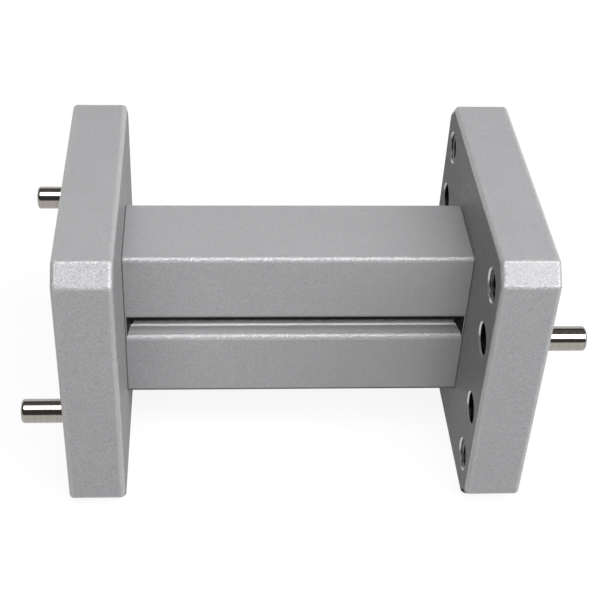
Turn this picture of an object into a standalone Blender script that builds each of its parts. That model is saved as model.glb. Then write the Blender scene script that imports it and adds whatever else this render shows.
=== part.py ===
"""Fixed waveguide attenuator: a ridged waveguide section between two square bolt flanges.

A solid-walled waveguide body is brazed into the sockets of two thick square flanges and ends
flush with their mating faces. A lossy card enters the channel through a slot at the bottom of
the front groove and is sealed in there by a black strip. Two dowel pins stand out of each
mating face, and the two free bores beside them take the dowels of the flange that mates. The
holes of the left flange are blind, and those of the right one go through.

Run it with: blender --background --python part.py
Units are metres. +X runs along the waveguide, the card's slot faces -Y and +Z is up.
The origin lies under the middle of the part, on the surface that both flanges stand on.
"""

import math

import bmesh
import bpy
from mathutils import Matrix, Vector

PART_NAME = "waveguide_attenuator"

# Overall length, from mating face to mating face
OVERALL_LENGTH = 0.0573

# Flanges
FLANGE_SIDE = 0.0381
FLANGE_THICKNESS = 0.0070
FLANGE_CORNER_CHAMFER = 0.0022
FLANGE_EDGE_RADIUS = 0.0006

# Holes of a flange: two upright columns, each with a screw hole at both ends and two
# dowel bores between them. The insets run from the flange's edges to the holes' axes.
HOLE_COLUMN_INSET = 0.00425
SCREW_ROW_INSET = 0.00515
DOWEL_ROW_SPACING = 0.0114
SCREW_HOLE_DIAMETER = 0.0040
COUNTERSINK_DIAMETER = 0.0046

# Wall between the left flange's blind holes and its inner face
BLIND_WALL = 0.0012

# How deep the right flange's dowel bores are as wide as its screw holes, from its inner face
DOWEL_RELIEF_DEPTH = 0.0018

# Dowel pins
DOWEL_DIAMETER = 0.0030
DOWEL_PROJECTION = 0.0055
DOWEL_SEAT_DEPTH = 0.0050
DOWEL_TIP_CHAMFER = 0.0004
DOWEL_SLIP_FIT = 0.00005

# Waveguide body
BODY_DEPTH = 0.0118
BODY_HEIGHT = 0.0219
BODY_EDGE_RADIUS = 0.0006

# Ridged channel through the body
CHANNEL_DEPTH = 0.0081
CHANNEL_HEIGHT = 0.0175
RIDGE_WIDTH = 0.0044
RIDGE_GAP = 0.0034

# Grooves along the front and the back of the body, over the ridges. The web is the metal
# left between a groove's floor and the face of its ridge.
GROOVE_HEIGHT = 0.0028
GROOVE_WEB = 0.0019
GROOVE_END_LAND = 0.0001
GROOVE_END_TAPER = 0.0006
GROOVE_LIP_RADIUS = 0.0005

# Black strip that seals the card's slot, let into the floor of the front groove
SEAL_HEIGHT = 0.0019
SEAL_THICKNESS = 0.0007

# Lossy card, held edge to edge in slots of the two ridges
CARD_THICKNESS = 0.0008
CARD_END_MARGIN = 0.0020
CARD_TAPER_LENGTH = 0.0110
CARD_SEAT_DEPTH = 0.0009

# Gap between a piece and its seat, and how far a cutter reaches past what it cuts
SEAT_GAP = 0.0003
OVERCUT = 0.0005

# Facets
ROUND_STEPS = 32
EDGE_STEPS = 3
MERGE_DISTANCE = 0.00001
SHARP_EDGE_DEG = 30

# Places that follow from the sizes, as distances from the middle of the part
MID_Z = FLANGE_SIDE / 2
FACE_X = OVERALL_LENGTH / 2
SHOULDER_X = FACE_X - FLANGE_THICKNESS
FLANGE_MID_X = FACE_X - FLANGE_THICKNESS / 2
HOLE_COLUMN_Y = FLANGE_SIDE / 2 - HOLE_COLUMN_INSET
SCREW_ROW_Z = FLANGE_SIDE / 2 - SCREW_ROW_INSET
DOWEL_ROW_Z = DOWEL_ROW_SPACING / 2
BODY_FACE_Y = BODY_DEPTH / 2
RIDGE_FACE_Y = RIDGE_GAP / 2
GROOVE_FLOOR_Y = RIDGE_FACE_Y + GROOVE_WEB
GROOVE_MOUTH_X = SHOULDER_X - GROOVE_END_LAND
GROOVE_FLOOR_X = GROOVE_MOUTH_X - GROOVE_END_TAPER
SEAL_BACK_Y = GROOVE_FLOOR_Y - SEAL_THICKNESS
POCKET_FLOOR_Y = SEAL_BACK_Y - SEAT_GAP
CARD_SEAT_Y = RIDGE_FACE_Y + CARD_SEAT_DEPTH
CARD_HALF_LENGTH = GROOVE_FLOOR_X - CARD_END_MARGIN

# Stands a piece that was drawn in its own XY plane with its Z along the part's X
ALONG_X = Matrix(((0, 0, 1, 0), (1, 0, 0, 0), (0, 1, 0, 0), (0, 0, 0, 1)))


def clear_scene():
    """Removes every object and every collection that the file opened with."""
    for obj in list(bpy.data.objects):
        bpy.data.objects.remove(obj, do_unlink=True)
    for collection in list(bpy.data.collections):
        bpy.data.collections.remove(collection)


def new_collection(name):
    """Adds a collection to the scene."""
    collection = bpy.data.collections.new(name)
    bpy.context.scene.collection.children.link(collection)
    return collection


def new_material(name, colour, roughness, metallic):
    """Makes a plain Principled BSDF material."""
    material = bpy.data.materials.new(name)
    material.use_nodes = True
    shader = material.node_tree.nodes["Principled BSDF"]
    shader.inputs["Base Color"].default_value = (*colour, 1.0)
    shader.inputs["Roughness"].default_value = roughness
    shader.inputs["Metallic"].default_value = metallic
    material.diffuse_color = (*colour, 1.0)
    return material


def at(x, y, z):
    """The placing of a piece that keeps the part's directions, at a point."""
    return Matrix.Translation((x, y, z))


def link_object(name, mesh, collection, place):
    """Puts a mesh into a collection as an object with the given world matrix."""
    obj = bpy.data.objects.new(name, mesh)
    collection.objects.link(obj)
    obj.matrix_world = place
    return obj


def box(name, size, collection, place):
    """A box of the given size about its centre."""
    mesh = bpy.data.meshes.new(name)
    bm = bmesh.new()
    bmesh.ops.create_cube(bm, size=1.0)
    bmesh.ops.scale(bm, vec=Vector(size), verts=bm.verts)
    bm.to_mesh(mesh)
    bm.free()
    return link_object(name, mesh, collection, place)


def prism(name, outline, thickness, collection, place):
    """A flat outline drawn in the piece's XY plane and made solid along its Z."""
    drawing = bpy.data.curves.new(name + "_outline", "CURVE")
    drawing.dimensions = "2D"
    drawing.fill_mode = "BOTH"
    drawing.extrude = thickness / 2
    spline = drawing.splines.new("POLY")
    spline.points.add(len(outline) - 1)
    for point, (x, y) in zip(spline.points, outline):
        point.co = (x, y, 0.0, 1.0)
    spline.use_cyclic_u = True
    sketch = link_object(name + "_outline", drawing, collection, place)
    bpy.context.view_layer.update()
    evaluated = sketch.evaluated_get(bpy.context.evaluated_depsgraph_get())
    mesh = bpy.data.meshes.new_from_object(evaluated)
    mesh.name = name
    bpy.data.objects.remove(sketch, do_unlink=True)
    bpy.data.curves.remove(drawing)
    bm = bmesh.new()
    bm.from_mesh(mesh)
    bmesh.ops.remove_doubles(bm, verts=bm.verts, dist=MERGE_DISTANCE)
    bmesh.ops.recalc_face_normals(bm, faces=bm.faces)
    bm.to_mesh(mesh)
    bm.free()
    return link_object(name, mesh, collection, place)


def turned(name, profile, collection, centre):
    """A round piece about the part's X, turned from points of (radius, distance along +X).

    The profile starts on the axis at the +X end, runs down the outside and ends on the axis.
    """
    mesh = bpy.data.meshes.new(name)
    bm = bmesh.new()
    points = [bm.verts.new((radius, 0.0, along)) for radius, along in profile]
    for first, second in zip(points, points[1:]):
        bm.edges.new((first, second))
    bm.to_mesh(mesh)
    bm.free()
    obj = link_object(name, mesh, collection, at(*centre) @ ALONG_X)
    screw = obj.modifiers.new("turn", "SCREW")
    screw.axis = "Z"
    screw.angle = math.tau
    screw.steps = ROUND_STEPS
    screw.render_steps = ROUND_STEPS
    screw.use_merge_vertices = True
    screw.merge_threshold = MERGE_DISTANCE
    return obj


def weigh_long_edges(obj):
    """Marks the edges along the part's X for a Bevel modifier that works by weight."""
    bm = bmesh.new()
    bm.from_mesh(obj.data)
    weight = bm.edges.layers.float.new("bevel_weight_edge")
    for edge in bm.edges:
        along = edge.verts[1].co - edge.verts[0].co
        if abs(along.x) > max(abs(along.y), abs(along.z)):
            edge[weight] = 1.0
    bm.to_mesh(obj.data)
    bm.free()


def bevel(obj, width, steps, limit):
    """Adds a Bevel modifier that works by edge weight or by angle."""
    modifier = obj.modifiers.new("edges", "BEVEL")
    modifier.width = width
    modifier.segments = steps
    modifier.limit_method = limit
    modifier.angle_limit = math.radians(SHARP_EDGE_DEG)


def combine(obj, cutter, operation):
    """Adds an exact Boolean modifier, whose other object becomes a cutter."""
    modifier = obj.modifiers.new(operation.lower(), "BOOLEAN")
    modifier.operation = operation
    modifier.solver = "EXACT"
    modifier.object = cutter
    cutter.hide_render = True
    cutter.display_type = "WIRE"


def cut(obj, cutter):
    """Cuts one object with another."""
    combine(obj, cutter, "DIFFERENCE")


def rounded_rectangle(width, height, radius):
    """Points of a rectangle with round corners about the origin, anticlockwise."""
    across = width / 2 - radius
    up = height / 2 - radius
    points = []
    for corner, (x, y) in enumerate(((across, up), (-across, up), (-across, -up), (across, -up))):
        for step in range(EDGE_STEPS + 1):
            turn = (corner + step / EDGE_STEPS) * math.pi / 2
            points.append((x + radius * math.cos(turn), y + radius * math.sin(turn)))
    return points


def hole_profile(radius, blind):
    """The section of a flange's hole, as points of (radius, depth below the mating face).

    Every hole has a countersink at the mating face, and a blind one ends in a flat bottom. A
    through hole leaves by the same countersink, and widens before it to the screw holes' size.
    """
    mouth = COUNTERSINK_DIAMETER / 2
    profile = [(0.0, -OVERCUT), (mouth + OVERCUT, -OVERCUT), (radius, mouth - radius)]
    if blind:
        bottom = FLANGE_THICKNESS - BLIND_WALL
        return profile + [(radius, bottom), (0.0, bottom)]
    exit_radius = max(radius, SCREW_HOLE_DIAMETER / 2)
    if exit_radius > radius:
        step = FLANGE_THICKNESS - DOWEL_RELIEF_DEPTH
        profile += [(radius, step), (exit_radius, step)]
    end = FLANGE_THICKNESS + OVERCUT
    sink = mouth - exit_radius
    return profile + [(exit_radius, FLANGE_THICKNESS - sink), (mouth + OVERCUT, end), (0.0, end)]


def hole_cutter(name, diameter, blind, cutters, side, y, z):
    """The cutter of a flange's hole, turned about the hole's axis."""
    half = FLANGE_THICKNESS / 2
    section = hole_profile(diameter / 2, blind)
    profile = [(radius, side * (half - depth)) for radius, depth in section]
    if side < 0:
        profile.reverse()
    return turned(name, profile, cutters, (side * FLANGE_MID_X, y, MID_Z + z))


def carries_dowel(side, y, z):
    """Whether the dowel place at (y, z) from the middle of a flange holds its own pin.

    Seen from outside, each flange has a dowel high on its left and low on its right, so every
    dowel meets a free bore of the flange that mates.
    """
    return side * y * z < 0


def hole_places(row_z):
    """The four places of a flange's two columns in the rows that lie row_z from its middle."""
    return [(y, z) for y in (-HOLE_COLUMN_Y, HOLE_COLUMN_Y) for z in (-row_z, row_z)]


def make_flange(name, side, blind, parts, cutters, paint):
    """A thick square flange with cut corners, eight holes and a socket for the body."""
    size = (FLANGE_THICKNESS, FLANGE_SIDE, FLANGE_SIDE)
    place = at(side * FLANGE_MID_X, 0.0, MID_Z)
    flange = box(name, size, parts, place)
    weigh_long_edges(flange)
    bevel(flange, FLANGE_CORNER_CHAMFER, 1, "WEIGHT")
    bevel(flange, FLANGE_EDGE_RADIUS, EDGE_STEPS, "ANGLE")
    socket = rounded_rectangle(
        BODY_DEPTH + 2 * SEAT_GAP, BODY_HEIGHT + 2 * SEAT_GAP, BODY_EDGE_RADIUS + SEAT_GAP
    )
    reach = FLANGE_THICKNESS + 2 * OVERCUT
    cut(flange, prism(name + "_socket", socket, reach, cutters, place @ ALONG_X))
    for number, (y, z) in enumerate(hole_places(SCREW_ROW_Z)):
        cutter_name = f"{name}_screw_hole_{number}"
        cut(flange, hole_cutter(cutter_name, SCREW_HOLE_DIAMETER, blind, cutters, side, y, z))
    for number, (y, z) in enumerate(hole_places(DOWEL_ROW_Z)):
        fit = SEAT_GAP if carries_dowel(side, y, z) else DOWEL_SLIP_FIT
        diameter = DOWEL_DIAMETER + 2 * fit
        cutter_name = f"{name}_dowel_bore_{number}"
        cut(flange, hole_cutter(cutter_name, diameter, blind, cutters, side, y, z))
    flange.data.materials.append(paint)


def make_dowel(name, side, y, z, parts, steel):
    """A dowel pin with chamfered ends, seated in a flange from its mating face."""
    radius = DOWEL_DIAMETER / 2
    half = (DOWEL_PROJECTION + DOWEL_SEAT_DEPTH) / 2
    centre_x = FACE_X + (DOWEL_PROJECTION - DOWEL_SEAT_DEPTH) / 2
    profile = [
        (0.0, half),
        (radius - DOWEL_TIP_CHAMFER, half),
        (radius, half - DOWEL_TIP_CHAMFER),
        (radius, DOWEL_TIP_CHAMFER - half),
        (radius - DOWEL_TIP_CHAMFER, -half),
        (0.0, -half),
    ]
    dowel = turned(name, profile, parts, (side * centre_x, y, MID_Z + z))
    dowel.data.materials.append(steel)


def make_dowels(label, side, parts, steel):
    """The two dowel pins of a flange."""
    for y, z in hole_places(DOWEL_ROW_Z):
        if carries_dowel(side, y, z):
            column = "front" if y < 0 else "back"
            make_dowel(f"dowel_{label}_{column}", side, y, z, parts, steel)


def channel_outline():
    """The channel's section in Y and Z: a rectangle with a ridge on each wide wall."""
    wall_y = CHANNEL_DEPTH / 2
    wall_z = CHANNEL_HEIGHT / 2
    ridge_z = RIDGE_WIDTH / 2
    quarter = [(RIDGE_FACE_Y, ridge_z), (wall_y, ridge_z), (wall_y, wall_z)]
    upper = quarter + [(-y, z) for y, z in reversed(quarter)]
    return upper + [(y, -z) for y, z in reversed(upper)]


def groove_section():
    """The back groove's section in Y and Z, with its two lips rounded outwards."""
    half = GROOVE_HEIGHT / 2
    lip_y = BODY_FACE_Y - GROOVE_LIP_RADIUS
    lip_z = half + GROOVE_LIP_RADIUS
    lip = [(GROOVE_FLOOR_Y, half)]
    for step in range(EDGE_STEPS + 1):
        turn = step / EDGE_STEPS * math.pi / 2
        y = lip_y + GROOVE_LIP_RADIUS * math.sin(turn)
        lip.append((y, lip_z - GROOVE_LIP_RADIUS * math.cos(turn)))
    lip.append((BODY_FACE_Y + OVERCUT, lip_z))
    return [(y, -z) for y, z in lip] + lip[::-1]


def groove_reach():
    """The back groove seen from above: its ends slant inwards from its mouth to its floor."""
    ends = [
        (GROOVE_FLOOR_X, GROOVE_FLOOR_Y - OVERCUT),
        (GROOVE_FLOOR_X, GROOVE_FLOOR_Y),
        (GROOVE_MOUTH_X, BODY_FACE_Y),
        (GROOVE_MOUTH_X, BODY_FACE_Y + 2 * OVERCUT),
    ]
    return ends + [(-x, y) for x, y in reversed(ends)]


def groove_cutter(name, side, cutters):
    """The cutter of the groove on the front or the back of the body."""
    section = [(side * y, z) for y, z in groove_section()]
    reach = [(x, side * y) for x, y in groove_reach()]
    length = 2 * (GROOVE_MOUTH_X + OVERCUT)
    height = GROOVE_HEIGHT + 2 * GROOVE_LIP_RADIUS + 2 * OVERCUT
    place = at(0.0, 0.0, MID_Z)
    cutter = prism(name, section, length, cutters, place @ ALONG_X)
    combine(cutter, prism(name + "_reach", reach, height, cutters, place), "INTERSECT")
    return cutter


def make_body(parts, cutters, paint):
    """The waveguide body: channel, grooves, pocket for the seal and slots for the card."""
    place = at(0.0, 0.0, MID_Z)
    body = box("waveguide_body", (OVERALL_LENGTH, BODY_DEPTH, BODY_HEIGHT), parts, place)
    weigh_long_edges(body)
    bevel(body, BODY_EDGE_RADIUS, EDGE_STEPS, "WEIGHT")
    reach = OVERALL_LENGTH + 2 * OVERCUT
    cut(body, prism("channel", channel_outline(), reach, cutters, place @ ALONG_X))
    cut(body, groove_cutter("front_groove", -1, cutters))
    cut(body, groove_cutter("back_groove", 1, cutters))
    pocket_size = (
        2 * GROOVE_FLOOR_X,
        SEAL_THICKNESS + SEAT_GAP + OVERCUT,
        SEAL_HEIGHT + 2 * SEAT_GAP,
    )
    pocket_y = POCKET_FLOOR_Y + pocket_size[1] / 2
    cut(body, box("seal_pocket", pocket_size, cutters, at(0.0, -pocket_y, MID_Z)))
    slot_front_y = POCKET_FLOOR_Y + OVERCUT
    slot_back_y = CARD_SEAT_Y + SEAT_GAP
    slot_size = (
        2 * (CARD_HALF_LENGTH + SEAT_GAP),
        slot_front_y + slot_back_y,
        CARD_THICKNESS + 2 * SEAT_GAP,
    )
    slot_y = (slot_back_y - slot_front_y) / 2
    cut(body, box("card_slots", slot_size, cutters, at(0.0, slot_y, MID_Z)))
    body.data.materials.append(paint)


def make_card(parts, film):
    """The lossy card: full length in the front ridge, with both ends tapered across the gap."""
    short = CARD_HALF_LENGTH - CARD_TAPER_LENGTH
    outline = [
        (-CARD_HALF_LENGTH, -POCKET_FLOOR_Y),
        (CARD_HALF_LENGTH, -POCKET_FLOOR_Y),
        (CARD_HALF_LENGTH, -RIDGE_FACE_Y),
        (short, CARD_SEAT_Y),
        (-short, CARD_SEAT_Y),
        (-CARD_HALF_LENGTH, -RIDGE_FACE_Y),
    ]
    card = prism("attenuator_card", outline, CARD_THICKNESS, parts, at(0.0, 0.0, MID_Z))
    card.data.materials.append(film)


def make_seal(parts, rubber):
    """The black strip that closes the card's slot, flush with the floor of the front groove."""
    size = (2 * (GROOVE_FLOOR_X - SEAT_GAP), SEAL_THICKNESS, SEAL_HEIGHT)
    middle_y = (GROOVE_FLOOR_Y + SEAL_BACK_Y) / 2
    seal = box("slot_seal", size, parts, at(0.0, -middle_y, MID_Z))
    seal.data.materials.append(rubber)


def main():
    """Builds the part in one collection and its cutters in another."""
    clear_scene()
    parts = new_collection(PART_NAME)
    cutters = new_collection("cutters")
    paint = new_material("grey_paint", (0.33, 0.34, 0.36), 0.45, 0.3)
    steel = new_material("dowel_steel", (0.56, 0.53, 0.49), 0.22, 1.0)
    film = new_material("card_film", (0.03, 0.03, 0.035), 0.6, 0.0)
    rubber = new_material("black_seal", (0.01, 0.01, 0.01), 0.7, 0.0)
    make_body(parts, cutters, paint)
    make_card(parts, film)
    make_seal(parts, rubber)
    for label, side, blind in (("left", -1, True), ("right", 1, False)):
        make_flange(f"flange_{label}", side, blind, parts, cutters, paint)
        make_dowels(label, side, parts, steel)


main()
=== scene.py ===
"""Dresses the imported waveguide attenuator: fine surfaces, finishes, studio and camera.

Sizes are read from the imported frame, or are fields of the class that uses them. Lengths are metres
in the frame's axes: +X along the waveguide, +Y to the back and +Z up.
"""

import logging
import math
from dataclasses import dataclass
from enum import Enum

import bmesh
import bpy
import numpy as np
from mathutils import Matrix, Vector
from mathutils.geometry import tessellate_polygon


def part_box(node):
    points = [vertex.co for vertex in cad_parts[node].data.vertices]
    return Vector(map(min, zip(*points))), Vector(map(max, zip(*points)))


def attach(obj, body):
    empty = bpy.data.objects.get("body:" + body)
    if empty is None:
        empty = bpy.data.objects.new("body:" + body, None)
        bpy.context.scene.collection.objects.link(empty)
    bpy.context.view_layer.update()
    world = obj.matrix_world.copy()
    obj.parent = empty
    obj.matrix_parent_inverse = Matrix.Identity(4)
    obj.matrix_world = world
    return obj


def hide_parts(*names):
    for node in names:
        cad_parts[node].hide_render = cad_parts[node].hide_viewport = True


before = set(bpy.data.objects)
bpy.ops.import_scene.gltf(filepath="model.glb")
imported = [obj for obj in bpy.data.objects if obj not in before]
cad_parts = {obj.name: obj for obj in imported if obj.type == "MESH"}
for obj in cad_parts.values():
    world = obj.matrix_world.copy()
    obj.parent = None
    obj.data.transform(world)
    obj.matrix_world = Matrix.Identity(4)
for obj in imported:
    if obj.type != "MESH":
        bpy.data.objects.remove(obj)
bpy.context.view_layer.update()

BODY = "root"
WELD = 2e-7
SHADE = "shade"
WHITE = (1.0, 1.0, 1.0, 1.0)
NOISE_SPAN = (0.3, 0.7)
FINE_DETAIL = 3.0
TINY = 1e-20

log = logging.getLogger("waveguide_attenuator")


class Side(Enum):
    """The two ends of the part along X."""

    LEFT = -1
    RIGHT = 1


class Bore(Enum):
    """What a hole of a flange is for."""

    SCREW = "screw"
    FREE_DOWEL = "free_dowel"
    OWN_DOWEL = "own_dowel"


@dataclass(frozen=True)
class Measures:
    """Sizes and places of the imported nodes, as distances from the middle of the part."""

    middle_z: float
    face_x: float
    shoulder_x: float
    flange_half: float
    body_y: float
    body_z: float
    column_y: float
    dowel_row_z: float
    dowel_radius: float
    dowel_tip_x: float
    dowel_root_x: float
    groove_floor_y: float
    seal_depth: float
    seal_x: float
    card_x: float
    card_y: float
    card_half: float

    @classmethod
    def from_frame(cls) -> "Measures":
        """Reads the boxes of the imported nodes.

        Returns:
            The sizes that the pieces of this file are built from.
        """
        names = ("flange_right", "waveguide_body", "dowel_right_front", "slot_seal", "attenuator_card")
        boxes = [np.array([list(corner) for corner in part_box(name)]) for name in names]
        flange, body, dowel, seal, card = boxes
        middle = flange.mean(axis=0)[2]
        return cls(
            middle_z=middle,
            face_x=flange[1, 0],
            shoulder_x=flange[0, 0],
            flange_half=flange[1, 1],
            body_y=body[1, 1],
            body_z=body[1, 2] - middle,
            column_y=-dowel[:, 1].mean(),
            dowel_row_z=dowel[:, 2].mean() - middle,
            dowel_radius=(dowel[1, 2] - dowel[0, 2]) / 2,
            dowel_tip_x=dowel[1, 0],
            dowel_root_x=dowel[0, 0],
            groove_floor_y=-seal[0, 1],
            seal_depth=seal[1, 1] - seal[0, 1],
            seal_x=seal[1, 0],
            card_x=card[1, 0],
            card_y=card[1, 1],
            card_half=(card[1, 2] - card[0, 2]) / 2,
        )


@dataclass(frozen=True)
class Stretch:
    """A smooth stretch of an outline: points and unit normals, both of shape (n, 2)."""

    points: np.ndarray
    normals: np.ndarray

    @property
    def straight(self) -> bool:
        """Whether it is a single straight line."""
        return len(self.points) == 2


@dataclass(frozen=True)
class Outline:
    """A chain of smooth stretches in a plane. The normal may jump from one to the next.

    Attributes:
        arcs: The rounded corners, with None for a sharp one.
        sides: The straight sides, each from its corner to the next.
    """

    arcs: tuple[Stretch | None, ...]
    sides: tuple[Stretch, ...]

    @classmethod
    def through(cls, corners: list, radii: list, closed: bool = True, steps: int = 8) -> "Outline":
        """Straight sides through the corners, with a tangent arc at each rounded corner.

        The normal is the right-hand side of the travel, so it points out of an anticlockwise
        outline. A corner that turns by t loses radius times tan(t / 2) of both its sides. On its
        arc the normal turns evenly by t, and the point moves by the radius times the change of
        the normal, with the sign of the turn.

        Args:
            corners: The corner points, in order.
            radii: The radius at each corner.
            closed: Whether the last corner joins the first.
            steps: How many facets an arc has.

        Returns:
            The outline.
        """
        corner = np.asarray(corners, dtype=float)
        radius = np.asarray(radii, dtype=float)
        along = np.roll(corner, -1, axis=0) - corner
        along /= np.linalg.norm(along, axis=1, keepdims=True)
        before = np.roll(along, 1, axis=0)
        cross = before[:, 0] * along[:, 1] - before[:, 1] * along[:, 0]
        turn = np.arctan2(cross, (before * along).sum(axis=1))
        loss = (radius * np.tan(np.abs(turn) / 2))[:, None]
        normal = np.stack([before[:, 1], -before[:, 0]], axis=1)
        angle = turn[:, None] * np.linspace(0.0, 1.0, steps + 1)
        cosine, sine = np.cos(angle), np.sin(angle)
        turned_y = normal[:, :1] * cosine - normal[:, 1:] * sine
        turned_z = normal[:, :1] * sine + normal[:, 1:] * cosine
        arc_normals = np.stack([turned_y, turned_z], axis=2)
        bend = (np.sign(turn) * radius)[:, None, None]
        arc_points = (corner - before * loss)[:, None] + bend * (arc_normals - normal[:, None])
        start = corner + along * loss
        end = np.roll(corner - before * loss, -1, axis=0)
        side_normal = np.stack([along[:, 1], -along[:, 0]], axis=1)
        arcs = tuple(
            Stretch(points, normals) if size > 0.0 else None
            for points, normals, size in zip(arc_points, arc_normals, radius)
        )
        sides = tuple(
            Stretch(np.stack(ends), np.stack([out, out]))
            for *ends, out in zip(start, end, side_normal)
        )
        if closed:
            return cls(arcs, sides)
        return cls((None,) + arcs[1:-1] + (None,), sides[:-1])

    @classmethod
    def line(cls, first: float, second: float) -> "Outline":
        """A rail of no height from one X to another."""
        return cls.through([(first, 0.0), (second, 0.0)], [0.0, 0.0], closed=False)

    @classmethod
    def circle(cls, centre: tuple, radius: float, inward: bool, steps: int = 64) -> "Outline":
        """A circle whose normals point to its axis (inward) or away from it.

        Args:
            centre: The centre's two coordinates.
            radius: The radius.
            inward: Whether it bounds a hole.
            steps: How many facets it has.

        Returns:
            The outline, one smooth stretch that ends where it starts.
        """
        angle = np.linspace(0.0, math.tau, steps + 1)
        spoke = np.stack([np.cos(angle), np.sin(angle)], axis=1)
        spoke[-1] = spoke[0]
        sign = -1.0 if inward else 1.0
        return cls((), (Stretch(np.asarray(centre) + radius * spoke, sign * spoke),))

    @property
    def stretches(self) -> list[Stretch]:
        """All arcs and sides in order, without those that have no length.

        Returns:
            The stretches of the whole chain.
        """
        pairs = zip(self.arcs + (None,) * (len(self.sides) - len(self.arcs)), self.sides)
        chain = [stretch for pair in pairs for stretch in pair if stretch is not None]
        return [s for s in chain if np.ptp(s.points, axis=0).max() > WELD]

    def loop(self, height: float = 0.0) -> np.ndarray:
        """The points of the closed chain, each once, moved along their normals.

        Args:
            height: How far they are moved.

        Returns:
            Points of shape (n, 2).
        """
        line = np.concatenate([s.points + height * s.normals for s in self.stretches])
        step = np.linalg.norm(line - np.roll(line, 1, axis=0), axis=1)
        return line[step > WELD]

    def mirrored(self) -> "Outline":
        """The outline with its first coordinate negated and run backwards, normals kept outwards.

        Returns:
            The mirrored outline.
        """
        flip = (-1.0, 1.0)
        arcs, sides = (
            tuple(
                stretch and Stretch(stretch.points[::-1] * flip, stretch.normals[::-1] * flip)
                for stretch in reversed(chain)
            )
            for chain in (self.arcs, self.sides)
        )
        return Outline(arcs, sides)


def rectangle(width: float, height: float, inward: bool = False) -> np.ndarray:
    """The four corners of a rectangle about the origin, anticlockwise, or clockwise if inward."""
    corners = np.array([(1, 1), (-1, 1), (-1, -1), (1, -1)]) * (width / 2, height / 2)
    return corners[::-1] if inward else corners


def at_x(loop: np.ndarray, x: float) -> np.ndarray:
    """A loop of points (Y, Z) at a place x."""
    return np.column_stack([np.full(len(loop), x), loop])


def at_y(loop: np.ndarray, y: float) -> np.ndarray:
    """A loop of points (X, Z) at a depth y."""
    return np.column_stack([loop[:, 0], np.full(len(loop), y), loop[:, 1]])


def grid_normals(points: np.ndarray, closed: bool = False) -> np.ndarray:
    """Unit normals of a grid: the cross product of its two directions by central differences.

    Args:
        points: The grid, of shape (rows, columns, 3).
        closed: Whether the last row repeats the first.

    Returns:
        Normals of the same shape.
    """
    padded = np.concatenate([points[-2:-1], points, points[1:2]]) if closed else points
    down = np.gradient(padded, axis=0, edge_order=2 if len(padded) > 2 else 1)
    down = down[1:-1] if closed else down
    across = np.gradient(points, axis=1, edge_order=2 if points.shape[1] > 2 else 1)
    normal = np.cross(down, across)
    size = np.linalg.norm(normal, axis=2, keepdims=True)
    return normal / np.maximum(size, TINY)


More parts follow.
